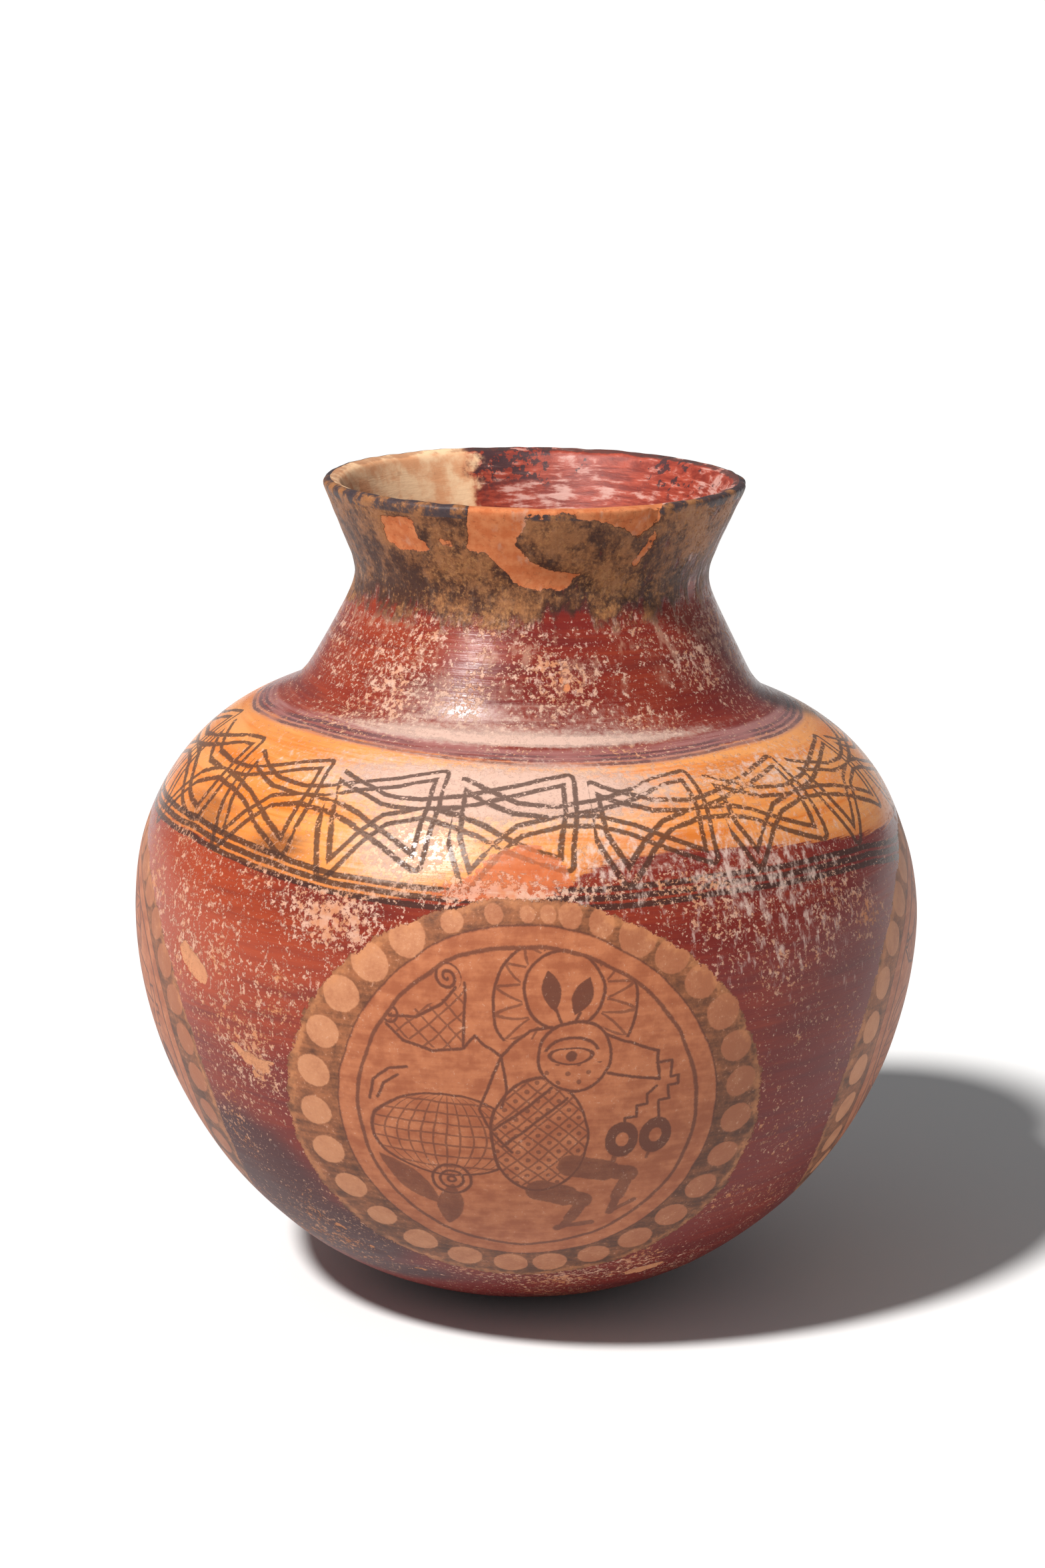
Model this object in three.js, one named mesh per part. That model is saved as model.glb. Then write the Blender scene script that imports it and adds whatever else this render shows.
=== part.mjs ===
// A round terracotta jar, built by hand in one piece of fired clay: a deep bowl on a small flat spot, a full
// shoulder, a neck that narrows to a waist, and a flared lip. It is hollow, empty and open at the mouth.
// Millimetres, +Z up. The origin is the middle of the flat spot it stands on, and its best side faces -Y.

import * as THREE from "three";

const { lerp, smoothstep } = THREE.MathUtils;

// Outside of the clay: radii from the axis, levels above the floor
const standingRadius = 29; // the flat spot underneath
const bellyRadius = 134.6;
const bellyLevel = 129;
const shoulderRadius = 87; // where the shoulder gives way to the neck
const shoulderLevel = 204.7;
const waistRadius = 57.9; // the corner that neck and flare would make without their soft bend
const waistLevel = 247.6;
const lipRadius = 71;
const jarHeight = 280;

// How square each swelling is, sideways and upwards; an ellipse has 2 and 2
const bowlSquareness = { side: 2.2, rise: 1.87 };
const shoulderSquareness = { side: 3.75, rise: 2.2 };

// How far a soft bend runs each way from its corner
const neckFootBend = 9;
const waistBend = 8;

// Thickness of the clay
const floorThickness = 10;
const wallThickness = 7;
const lipThickness = 5.8;
const lipRounding = 2.4; // height of the round edge that finishes the lip

// What the potter's hands left uneven: sideways shifts and a tilt
const mouthShift = 2.7;
const shoulderShift = -1.2;
const neckFootTilt = 2.1; // the left edge of the neck foot is this much high, the right edge as much low
const mouthTilt = 0.6;

// Facets
const segmentsAround = 64;
const bowlRows = 14;
const shoulderRows = 12;
const neckRows = 3;
const bendRows = 4;
const flareRows = 3;
const lipRows = 6;
const insideRowStep = 9; // the inside, seen less, has no row closer to the last than this

const clayColour = 0x9c4a34;

// One swelling of the outline, from the belly to a foot nearer the axis
class Swelling extends THREE.Curve {
  constructor(footRadius, footLevel, squareness) {
    super();
    this.squareness = squareness;
    const width = Math.pow(footRadius / bellyRadius, squareness.side);
    this.reach = (footLevel - bellyLevel) / Math.pow(1 - width, 1 / squareness.rise);
    this.lastAngle = Math.asin(Math.pow(1 - width, 1 / 2));
  }

  getPoint(t, target = new THREE.Vector2()) {
    const angle = t * this.lastAngle;
    const out = Math.pow(Math.cos(angle), 2 / this.squareness.side);
    const rise = Math.pow(Math.sin(angle), 2 / this.squareness.rise);
    return target.set(bellyRadius * out, bellyLevel + this.reach * rise);
  }
}

// Both straight stretches and both soft bends above the shoulder, as curves in the order of the outline
function neckCurves(shoulder) {
  const shoulderEnd = shoulder.getPoint(1);
  const neckFoot = shoulder.getTangent(1).multiplyScalar(neckFootBend).add(shoulderEnd);
  const waist = new THREE.Vector2(waistRadius, waistLevel);
  const lip = new THREE.Vector2(lipRadius, jarHeight - lipRounding);
  const upNeck = waist.clone().sub(neckFoot).normalize();
  const upFlare = lip.clone().sub(waist).normalize();
  const neckStart = neckFoot.clone().addScaledVector(upNeck, neckFootBend);
  const neckEnd = waist.clone().addScaledVector(upNeck, -waistBend);
  const flareStart = waist.clone().addScaledVector(upFlare, waistBend);
  return [
    [new THREE.QuadraticBezierCurve(shoulderEnd, neckFoot, neckStart), bendRows],
    [new THREE.LineCurve(neckStart, neckEnd), neckRows],
    [new THREE.QuadraticBezierCurve(neckEnd, waist, flareStart), bendRows],
    [new THREE.LineCurve(flareStart, lip), flareRows],
  ];
}

// Points of the outside, each with its direction along the outline, from the edge of the flat spot to the lip
function outsidePoints() {
  const bowl = new Swelling(standingRadius, 0, bowlSquareness);
  const shoulder = new Swelling(shoulderRadius, shoulderLevel, shoulderSquareness);
  const points = [];
  for (let row = 0; row < bowlRows; row++) {
    const along = 1 - row / bowlRows;
    points.push({ at: bowl.getPointAt(along), way: bowl.getTangentAt(along).negate() });
  }
  for (const [curve, rows] of [[shoulder, shoulderRows], ...neckCurves(shoulder)]) {
    for (let row = 0; row < rows; row++) {
      const along = row / rows;
      points.push({ at: curve.getPointAt(along), way: curve.getTangentAt(along) });
    }
  }
  const flare = neckCurves(shoulder).at(-1)[0];
  points.push({ at: flare.getPointAt(1), way: flare.getTangentAt(1) });
  return points;
}

// The clay is thickest in the floor and thinnest at the lip
function thicknessAt(level) {
  const above = (level - bellyLevel) / (jarHeight - bellyLevel);
  const below = (bellyLevel - level) / bellyLevel;
  return level > bellyLevel
    ? lerp(wallThickness, lipThickness, above)
    : lerp(wallThickness, floorThickness, below * below);
}

// The point inside the wall that lies square across the clay from a point outside
function acrossTheWall({ at, way }) {
  const inwards = new THREE.Vector2(-way.y, way.x);
  return at.clone().addScaledVector(inwards, thicknessAt(at.y));
}

// The inside, from the level of the lip's rounding down to the middle of the floor
function insidePoints(outside) {
  const lip = outside.at(-1);
  const points = [new THREE.Vector2(lip.at.x - lipThickness / lip.way.y, lip.at.y)];
  for (const point of [...outside].reverse()) {
    const inner = acrossTheWall(point);
    if (inner.distanceTo(points.at(-1)) > insideRowStep) points.push(inner);
  }
  const floorEdge = acrossTheWall(outside[0]);
  if (points.at(-1).distanceTo(floorEdge) < insideRowStep / 2) points.pop();
  return [...points, floorEdge, new THREE.Vector2(0, floorEdge.y)];
}

// The round edge of the lip, from the outside over to the inside, which tops out at the height of the jar
function lipPoints(outer, inner, way) {
  const handleShare = 3 / 4; // such a curve rises by this share of its handles
  const swell = way.clone().multiplyScalar(lipRounding / handleShare / way.y);
  const edge = new THREE.CubicBezierCurve(outer, outer.clone().add(swell), inner.clone().add(swell), inner);
  return edge.getPoints(lipRows).slice(1, -1);
}

function jarOutline() {
  const outside = outsidePoints();
  const inside = insidePoints(outside);
  const last = outside.at(-1);
  return [
    new THREE.Vector2(0, 0),
    ...outside.map((point) => point.at),
    ...lipPoints(last.at, inside[0], last.way),
    ...inside,
  ];
}

// Moves the even shape to where the potter's hands left it; the flat spot stays as it is
function unevenByHand(geometry) {
  const place = geometry.getAttribute("position");
  const shoulderMiddle = (bellyLevel + shoulderLevel) / 2;
  for (let i = 0; i < place.count; i++) {
    const aside = place.getX(i);
    const level = place.getZ(i);
    const towardsMouth = Math.max(level - bellyLevel, 0) / (jarHeight - bellyLevel);
    const upLowerShoulder = smoothstep(level, bellyLevel, shoulderMiddle);
    const upUpperShoulder = smoothstep(level, shoulderMiddle, shoulderLevel);
    const upNeck = smoothstep(level, shoulderLevel, waistLevel);
    const neckFootSlope = (neckFootTilt / shoulderRadius) * (upUpperShoulder - upNeck);
    const mouthSlope = (mouthTilt / lipRadius) * upNeck;
    const shift = mouthShift * towardsMouth ** 2 + shoulderShift * (upLowerShoulder - upUpperShoulder);
    place.setX(i, aside + shift);
    place.setZ(i, level - aside * (neckFootSlope + mouthSlope));
  }
  geometry.computeVertexNormals();
  return geometry;
}

function makeJar() {
  const geometry = new THREE.LatheGeometry(jarOutline(), segmentsAround);
  geometry.rotateX(Math.PI / 2);
  const clay = new THREE.MeshStandardMaterial({ color: clayColour, roughness: 0.5, metalness: 0 });
  const jar = new THREE.Mesh(unevenByHand(geometry), clay);
  jar.name = "jar";
  return jar;
}

const group = new THREE.Group();
group.add(makeJar());

export default group;
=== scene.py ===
import math
from functools import reduce

import bpy
import numpy as np
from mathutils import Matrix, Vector, noise


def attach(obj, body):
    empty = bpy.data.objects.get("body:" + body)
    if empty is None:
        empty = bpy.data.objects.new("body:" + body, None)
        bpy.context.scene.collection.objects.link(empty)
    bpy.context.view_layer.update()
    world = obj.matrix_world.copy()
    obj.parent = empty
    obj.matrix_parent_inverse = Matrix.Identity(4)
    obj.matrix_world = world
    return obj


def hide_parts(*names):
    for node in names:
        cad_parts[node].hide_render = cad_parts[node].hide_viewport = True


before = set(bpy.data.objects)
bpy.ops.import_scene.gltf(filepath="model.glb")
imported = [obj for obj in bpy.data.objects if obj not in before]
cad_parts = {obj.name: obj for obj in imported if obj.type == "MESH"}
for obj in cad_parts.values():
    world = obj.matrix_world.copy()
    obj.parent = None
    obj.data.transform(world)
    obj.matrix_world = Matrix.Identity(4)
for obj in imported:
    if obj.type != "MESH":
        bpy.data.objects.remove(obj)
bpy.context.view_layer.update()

# The clay
# One hollow piece of low-fired clay, built up by hand from coils, then thinned and rubbed smooth.
# The mesh is the part's own solid, rounded off, with the waves and chips that hands and years left in it.
MM = 0.001
smallest_gap = 0.02  # points nearer to each other than this, in millimetres, are one point
rounding_levels = 2
belly_girth = 846  # the longest way around, which sets the scale of the unrolled map

bpy.ops.object.select_all(action="DESELECT")
jar = bpy.data.objects.new("painted_jar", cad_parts["jar"].data.copy())
bpy.context.scene.collection.objects.link(jar)
jar.select_set(True)
bpy.context.view_layer.objects.active = jar
bpy.ops.object.mode_set(mode="EDIT")
bpy.ops.mesh.select_all(action="SELECT")
bpy.ops.mesh.remove_doubles(threshold=smallest_gap * MM)
bpy.ops.mesh.tris_convert_to_quads()
bpy.ops.mesh.faces_shade_smooth()
bpy.ops.mesh.customdata_custom_splitnormals_clear()
bpy.ops.object.mode_set(mode="OBJECT")
jar.data.materials.clear()


def rings_of(mesh):
    """The rings of points, from the middle of the underside up over the lip to the middle of the floor."""
    beside = [set() for _ in mesh.vertices]
    for edge in mesh.edges:
        one, other = edge.vertices
        beside[one].add(other)
        beside[other].add(one)
    ring = {min(mesh.vertices, key=lambda point: point.co.length).index}
    seen = set()
    rings = []
    while ring:
        rings.append(sorted(ring))
        seen |= ring
        ring = {near for point in ring for near in beside[point]} - seen
    return rings, beside


def lie_of(mesh):
    """Each point's place sideways from the jar's own axis, and its way along the wall from underneath."""
    rings, beside = rings_of(mesh)
    place = np.array([point.co for point in mesh.vertices]) / MM
    lie = np.zeros((len(place), 3))
    along = 0.0
    for number, ring in enumerate(rings):
        if number:
            last = set(rings[number - 1])
            steps = [np.linalg.norm(place[p] - place[q]) for p in ring for q in beside[p] & last]
            along += float(np.mean(steps))
        lie[ring, :2] = place[ring, :2] - place[ring, :2].mean(axis=0)
        lie[ring, 2] = along
    return lie, rings


def keep_field(mesh, name, values):
    """Keeps three numbers a point with the mesh, for the materials to read."""
    field = mesh.attributes.new(name, "FLOAT_VECTOR", "POINT")
    field.data.foreach_set("vector", np.ascontiguousarray(values, np.float32).ravel())


def read_field(mesh, name):
    values = np.zeros(len(mesh.vertices) * 3, np.float32)
    mesh.attributes[name].data.foreach_get("vector", values)
    return values.reshape(-1, 3).astype(float)


def unroll(mesh, lie, lip_along):
    """A map of two strips, one for the outside and one for the inside, cut behind and along the lip."""
    strip = mesh.uv_layers.new(name="OFBake")
    for face in mesh.polygons:
        points = list(face.vertices)
        turns = np.degrees(np.arctan2(lie[points, 0], -lie[points, 1])) / 360 + 0.5
        on_axis = np.hypot(lie[points, 0], lie[points, 1]) < 1
        if turns[~on_axis].max() - turns[~on_axis].min() > 0.5:
            turns = np.where(turns < 0.5, turns + 1, turns)
        turns = np.where(on_axis, turns[~on_axis].mean(), turns)
        inside = lie[points, 2].mean() > lip_along
        along = lie[points, 2] - (lip_along if inside else 0)
        for loop, turn, way in zip(face.loop_indices, turns, along):
            strip.data[loop].uv = (turn, way / belly_girth + (0.5 if inside else 0))


lie, rings = lie_of(jar.data)
lip_ring = int(np.argmax([jar.data.vertices[ring[0]].co.z for ring in rings]))
lip_along = lie[rings[lip_ring][0], 2]
outer_rings = rings[: lip_ring + 1]
ring_levels = [lie[ring[0], 2] for ring in outer_rings]
ring_radii = [float(np.hypot(*lie[ring, :2].T).mean()) for ring in outer_rings]
ring_heights = [
    float(np.mean([jar.data.vertices[point].co.z for point in ring])) / MM for ring in outer_rings
]
keep_field(jar.data, "lie", lie)
unroll(jar.data, lie, lip_along)

rounding = jar.modifiers.new("rounding", "SUBSURF")
rounding.levels = rounding_levels
rounding.render_levels = rounding_levels
bpy.ops.object.modifier_apply(modifier=rounding.name)

lie = read_field(jar.data, "lie")
angle = np.degrees(np.arctan2(lie[:, 0], -lie[:, 1]))  # 0 in front, 90 at the right
radius = np.hypot(lie[:, 0], lie[:, 1])
along = lie[:, 2]
place = np.array([point.co for point in jar.data.vertices]) / MM
outside = along < lip_along


def grain(size, start=0.0):
    """Smooth random waves over the clay, from about -1 to 1, size millimetres long."""
    return np.array([noise.noise(Vector(point) / size + Vector((start, 0, 0))) for point in place])


def aside_from(at_angle):
    """Millimetres around the jar from a line that runs up it."""
    return np.radians((angle - at_angle + 180) % 360 - 180) * np.maximum(radius, 1)


def blot(at_angle, at_along, wide, tall):
    """A soft oval, 1 in its middle, that has faded to a third at wide and tall from there."""
    return outside * np.exp(-((aside_from(at_angle) / wide) ** 2) - ((along - at_along) / tall) ** 2)


def blots(*ovals):
    """Soft ovals, each an angle, a way along, a width, a height and a strength."""
    return [blot(*oval) * strength for *oval, strength in ovals]


far_outside = 9.0  # how far off a strip counts where it doesn't reach, in half widths of it
longest_patch = 90  # no strip reaches farther than this up the wall


def patch(reach, *corners):
    """Millimetres inside a strip's edge, reach wide each way, through corners of angle and way along."""
    inside = np.full(len(place), -reach * far_outside)
    for (angle_a, along_a), (angle_b, along_b) in zip(corners, corners[1:] or corners):
        from_a = np.stack([aside_from(angle_a), along - along_a], axis=1)
        run = np.array([np.radians(angle_b - angle_a) * radius, np.full(len(place), along_b - along_a)]).T
        share = (from_a * run).sum(axis=1) / np.maximum((run * run).sum(axis=1), 1e-6)
        off = np.linalg.norm(from_a - run * np.clip(share, 0, 1)[:, None], axis=1)
        inside = np.maximum(inside, reach - off)
    return np.where(np.abs(along - corners[0][1]) < longest_patch, inside, -reach * far_outside)


def flake(*corners):
    """Millimetres inside the edge of a shape with the corners, each an angle and a way along."""
    middle = sum(turn for turn, _ in corners) / len(corners)
    spots = [
        (math.radians(turn - middle) * np.interp(way, ring_levels, ring_radii), way)
        for turn, way in corners
    ]
    at = np.stack([aside_from(middle), along], axis=1)
    nearest = np.full(len(place), np.inf)
    within = np.zeros(len(place), bool)
    for start, end in zip(spots, spots[1:] + spots[:1]):
        run = np.subtract(end, start)
        share = np.clip((at - start) @ run / (run @ run), 0, 1)
        nearest = np.minimum(nearest, np.linalg.norm(at - start - share[:, None] * run, axis=1))
        crosses = (at[:, 1] < start[1]) != (at[:, 1] < end[1])
        within ^= crosses & (at[:, 0] < start[0] + (at[:, 1] - start[1]) * run[0] / (run[1] or 1))
    return np.where(within, nearest, -nearest)


def level_line(*marks):
    """Millimetres above a line drawn around the jar through marks, each an angle and a way along."""
    angles, levels = zip(*marks)
    return along - np.interp(angle, angles, levels, period=360)


def rise(low, high):
    """0 below low, 1 above high, along the wall."""
    share = np.clip((along - low) / (high - low), 0, 1)
    return share * share * (3 - 2 * share)


# Where the slip has flaked off down to the clay, in millimetres inside each flake's edge
flakes = [
    flake(
        (-45.7, 386.4), (-34.4, 388.1), (-34.7, 380.3), (-30.3, 377.2), (-30.8, 374.6), (-42, 374),
        (-46.3, 378),
    ),
    flake(
        (-17.7, 402), (-18.2, 393.6), (-19.2, 376.3), (-13.6, 376.2), (-10.6, 371.6), (-5.8, 365.5),
        (-4.6, 363.5), (9.5, 362), (14.8, 368.5), (5.6, 369.3), (-1, 373), (-5.7, 380.3), (-2.7, 385.6),
        (-2.4, 390.6), (8.6, 391), (16, 389), (24.3, 385), (29.6, 380.6), (35.9, 387.7), (36, 402),
    ),
    patch(1.1, (-26.4, 379.3), (-24, 378.6)),
    patch(1.3, (30.5, 370.5), (32.5, 373.4), (35.2, 380.5)),
    patch(3.3, (-56, 216.5), (-51.5, 211)),
    patch(2.2, (-43.5, 187), (-40, 184)),
    patch(1.3, (-45.5, 190), (-41.5, 184), (-38, 186)),
    patch(1.2, (-42, 180), (-40.5, 184)),
    flake((21, 88), (24, 93), (31, 95.5), (33, 92.5), (27, 87.5)),
    patch(0.9, (-44, 131)),
    patch(1.0, (-42, 124), (-40.5, 122.5)),
    patch(1.2, (-38, 117), (-36.5, 116)),
    patch(0.9, (-35, 111)),
    patch(1.1, (-32.5, 106), (-30, 104)),
    patch(0.8, (-29, 99)),
    patch(1.0, (-25, 94), (-22.5, 92.5)),
    patch(1.0, (8.5, 333), (9.5, 329.5)),
    patch(2.0, (118, 384), (126, 388)),
    flake((-152, 391), (-153, 386), (-146, 382), (-138, 386), (-140, 391)),
    flake((158, 240), (160, 248), (170, 251), (174, 244), (166, 239)),
    patch(2.4, (-118, 205), (-113, 202)),
    patch(9.0, (0, 8), (120, 10), (240, 9), (360, 8)),
]
bare = np.max(flakes, axis=0)

# How thickly each mark of age lies, with painted light mixed into some: flecks worn through the slip, pale
# deposit, soot, crust and rust-tinted slip
least_flecked = 0.42
flecked_range = 0.5
# The blot at -30 and 330 thickens the pale flecks on the lit left of the neck, partly as a painted
# highlight
flecks_and_highlight = least_flecked + flecked_range * np.max(blots(
    (-54, 226, 60, 28, 0.6), (-36, 224, 40, 22, 0.4), (-28, 238, 34, 14, 0.95), (40, 236, 50, 16, 0.4),
    (-5, 250, 34, 6, 1.3), (-42, 184, 22, 16, 0.7), (-30, 330, 60, 24, 0.75), (10, 330, 60, 18, 0.5),
    (48, 334, 44, 20, 0.5), (-62, 170, 30, 30, 0.5), (-45, 112, 40, 18, 0.3), (75, 215, 34, 36, 0.3),
    (12, 95, 60, 12, 0.6), (40, 285, 60, 12, 0.5), (150, 225, 60, 26, 0.8), (-150, 240, 60, 26, 0.8),
    (-110, 330, 34, 24, 0.8),
), axis=0)
deposit_along = 310.5  # the corner at the foot of the neck, where dirt has settled
deposit_half_width = 3.4
dust_and_painted_highlight = 0.5 * np.exp(-(((along - deposit_along) / deposit_half_width) ** 2))
dust_and_painted_highlight += 0.42 * (rise(306, 311) - rise(316, 344)) * outside
dust_and_painted_highlight *= np.maximum(0.35 + 0.65 * np.cos(np.radians(angle * 1.8)), 0.3)  # it lies thickest in front
# The blot at -21 and 259 is a painted highlight, a pale halo around the lamp's highlight on the belt, and
# the one at -34 and 330 a painted highlight on the lit left of the neck
dust_and_painted_highlight += sum(blots(
    (-34, 330, 30, 18, 0.24), (-21, 259, 22, 12, 0.5), (20, 262, 24, 14, 0.3), (-6, 286, 70, 14, 1.05),
    (-6, 262, 44, 14, 0.25),
))
sooted = np.max(blots(
    (-54, 142, 50, 30, 1.2), (-42, 112, 46, 24, 1.2), (-28, 90, 34, 12, 1), (-40, 258, 14, 6, 0.8),
    (-58, 262, 26, 8, 0.6), (125, 120, 50, 20, 0.7), (0, 30, 90, 20, 0.3),
), axis=0)
crust = rise(338, 362) * outside * (1 - 0.3 * blot(75, 362, 60, 40))
# The rust tint is partly the slip's own and partly painted light and shade: more rust orange on the lit
# left of the body and neck, deeper crimson on the shaded right and low down, less up the neck
rust_and_side_light = 0.36 + 0.64 * blot(-58, 226, 66, 34) + 0.3 * blot(-50, 335, 44, 40) - 0.3 * blot(62, 190, 80, 80)
rust_and_side_light -= 0.25 * (1 - rise(60, 150)) + 0.14 * rise(300, 320)

# Stains, which are only colour: a salmon wash low on the belt, short black marks, and pale rubbing
salmon = flake(
    (-15, 249), (-9, 254), (-6.5, 259), (-3.5, 265), (1, 266), (5, 262), (6.5, 256), (6, 251), (1, 247.5),
    (-5, 247),
)
marks = np.max([
    patch(0.5, (-27, 242.5), (-27, 247)), patch(0.6, (-40.4, 259.4), (-38.6, 257.8)),
    patch(0.6, (-25.5, 289.6)), patch(0.4, (-30, 229.5), (-30, 231)),
    patch(0.5, (37.5, 206), (37.7, 211.5)), patch(0.4, (43.5, 208), (43.5, 210)),
    patch(0.5, (59.3, 232.5), (59.3, 235)), patch(0.6, (-56.8, 244.2)),
], axis=0)
rubbed = np.max(blots(
    (12, 262, 24, 18, 1), (36, 252, 40, 24, 1), (50, 284, 46, 16, 1), (40, 230, 30, 16, 0.8),
    (-48, 282, 40, 14, 0.7), (-10, 292, 50, 10, 0.8),
), axis=0)

# How far each point lies above the belt's lower edge, above the belt's lines and above the collar's lines
band_edge = level_line(
    (-180, 253), (-110, 256), (-80, 253), (-60, 254), (-41, 250), (-28, 247), (-10, 248), (5, 252),
    (11, 259), (24, 262), (38, 259), (53, 255), (72, 250), (100, 252), (150, 258),
)
belt = level_line(
    (-180, 249), (-120, 252), (-80, 252), (-60, 253.3), (-41, 249.8), (-28, 246.8), (-10, 245.2),
    (11, 245.4), (31, 246.4), (44, 245.6), (61, 243), (75, 238), (110, 243), (150, 248),
)
collar = level_line(
    (-180, 299), (-80, 298.5), (-53, 302), (-33, 301.6), (0, 298), (28, 298.8), (47, 301), (80, 299),
)

# What stands proud or is sunk, in millimetres: hand waves, burnished facets, crust, flakes, deposit
hand_waves = ((0.42, 52, 0.0), (0.18, 19, 3.7))  # height, length, and where in the random waves
flake_depth = 0.22
crust_height = 0.22
deposit_height = 0.25
flake_steps = np.clip(bare / 1.2, -1, 1)
relief = sum(height * grain(length, start) for height, length, start in hand_waves)
relief = relief + 0.35 * grain(9, 8.1) * np.exp(-(((along - lip_along) / 9) ** 2))  # the worn lip
relief -= flake_depth * (flake_steps + 1) * outside * rise(20, 40)
relief += crust_height * crust * (1 + grain(5, 1.3)) + deposit_height * np.clip(dust_and_painted_highlight, 0, 1)
relief -= sum(blots(  # the chip
    (33.5, lip_along - 4.5, 1.7, 2.6, 2.2), (34.5, lip_along - 1, 2.6, 2.2, 1.2),
))
relief *= rise(0, 24)  # the spot that it stands on stays flat
normals = np.array([point.vector for point in jar.data.vertex_normals])
moved = place + normals * relief[:, None]
moved[:, 2] = np.maximum(moved[:, 2], 0)
jar.data.vertices.foreach_set("co", (moved * MM).ravel())
keep_field(jar.data, "wear_and_painted_light", np.stack([flecks_and_highlight, dust_and_painted_highlight, sooted], axis=1))
keep_field(jar.data, "coat", np.stack([crust, bare, rust_and_side_light], axis=1))
keep_field(jar.data, "levels", np.stack([band_edge, belt, collar], axis=1))
keep_field(jar.data, "stains", np.stack([salmon, marks, rubbed], axis=1))
jar.data.update()

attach(jar, "root")
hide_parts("jar")


# The slip
# A thin coat of red-firing liquid clay, brushed on around the jar and rubbed with a pebble to a half gloss.
# An orange-yellow belt of slip runs around the shoulder. Both are worn through in flecks and flakes.
light_gain = 1.25  # how much lighter the studio light shows a colour than it is


def colour(red, green, blue):
    """A colour as it looks in the picture, from 0 to 255, in the linear values that shaders take."""
    shares = [value / 255 for value in (red, green, blue)]
    linear = [share / 12.92 if share <= 0.04045 else ((share + 0.055) / 1.055) ** 2.4 for share in shares]
    return (*[share / light_gain for share in linear], 1.0)


class Field:
    """A value that changes over the clay: a node's output, on which plus, minus and times work."""

    def __init__(self, work, socket):
        self.work = work
        self.socket = socket

    def __add__(self, other):
        return self.work.calc("ADD", self, other)

    def __sub__(self, other):
        return self.work.calc("SUBTRACT", self, other)

    def __rsub__(self, other):
        return self.work.calc("SUBTRACT", other, self)

    def __mul__(self, other):
        if isinstance(other, tuple):
            return self.work.vector("MULTIPLY", self, other)
        return self.work.calc("MULTIPLY", self, other)

    def __abs__(self):
        return self.work.calc("ABSOLUTE", self)

    __radd__ = __add__
    __rmul__ = __mul__

    def by(self, amount):
        """Waves from 0 to 1 as a shift of up to half of amount either way."""
        return (self - 0.5) * amount


class Brushwork:
    """Writes one node tree, a call for each kind of node."""

    def __init__(self, tree):
        self.tree = tree

    def node(self, kind, inputs, **settings):
        made = self.tree.nodes.new("ShaderNode" + kind)
        for name, value in settings.items():
            setattr(made, name, value)
        for key, value in inputs.items():
            if isinstance(value, Field):
                self.tree.links.new(value.socket, made.inputs[key])
            else:
                made.inputs[key].default_value = value
        return made

    def field(self, kind, inputs, output=0, **settings):
        return Field(self, self.node(kind, inputs, **settings).outputs[output])

    def calc(self, operation, *values):
        return self.field("Math", dict(enumerate(values)), operation=operation)

    def vector(self, operation, *values):
        output = 1 if operation in ("DOT_PRODUCT", "LENGTH", "DISTANCE") else 0  # 1 is a number
        return self.field("VectorMath", dict(enumerate(values)), output, operation=operation)

    def step(self, value, low, high):
        """0 at low and 1 at high, which may be the lower number of the two."""
        inputs = {"Value": value, "From Min": low, "From Max": high}
        return self.field("MapRange", inputs, interpolation_type="SMOOTHSTEP", clamp=False)

    def mix(self, share, under, over):
        return self.field("Mix", {0: share, 6: under, 7: over}, 2, data_type="RGBA")

    def random_waves(self, at, per_mm, detail, roughness):
        """Settings of random waves, so many of them to a millimetre in all directions or in each."""
        ways = per_mm if isinstance(per_mm, tuple) else (per_mm, per_mm, per_mm)
        return {"Vector": at * ways, "Scale": 1.0, "Detail": detail, "Roughness": roughness}

    def waves(self, at, per_mm, detail=2.0, roughness=0.5):
        """Random waves from 0 to 1."""
        return self.field("TexNoise", self.random_waves(at, per_mm, detail, roughness))

    def parts(self, vector):
        split = self.node("SeparateXYZ", {"Vector": vector})
        return [Field(self, output) for output in split.outputs]

    def joined(self, *parts):
        return self.field("CombineXYZ", dict(enumerate(parts)))

    def drift(self, at, per_mm, detail=2.0, roughness=0.5):
        """Two independent random waves, each from -0.5 to 0.5."""
        inputs = self.random_waves(at, per_mm, detail, roughness)
        split = self.node("SeparateColor", {"Color": self.field("TexNoise", inputs, 1)})
        return [Field(self, output) - 0.5 for output in split.outputs[:2]]

    def kept(self, name):
        return self.field("Attribute", {}, 1, attribute_name=name)

    def place(self):
        """Where the point is, in millimetres."""
        return self.field("TexCoord", {}, 3) * (1 / MM, 1 / MM, 1 / MM)

    def least(self, values):
        """The least of values, which may be made one by one, so that few of them are waiting at a time."""
        return reduce(lambda found, value: self.calc("MINIMUM", found, value), values)

    def most(self, values):
        return reduce(lambda found, value: self.calc("MAXIMUM", found, value), values)


class GroupWork(Brushwork):
    """Brushwork that several materials share, as a node group with named sockets."""

    def __init__(self, name, inputs, outputs):
        super().__init__(bpy.data.node_groups.new(name, "ShaderNodeTree"))
        for names, way in ((inputs, "INPUT"), (outputs, "OUTPUT")):
            for socket, kind in names.items():
                self.tree.interface.new_socket(socket, in_out=way, socket_type="NodeSocket" + kind)
        given = self.tree.nodes.new("NodeGroupInput")
        self.given = {name: Field(self, given.outputs[name]) for name in inputs}

    def finish(self, **results):
        end = self.tree.nodes.new("NodeGroupOutput")
        for name, field in results.items():
            self.tree.links.new(field.socket, end.inputs[name])


def use_group(work, group, **inputs):
    node = work.node("Group", {}, node_tree=group.tree)
    for name, value in inputs.items():
        work.tree.links.new(value.socket, node.inputs[name])
    return {output.name: Field(work, output) for output in node.outputs}


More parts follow.
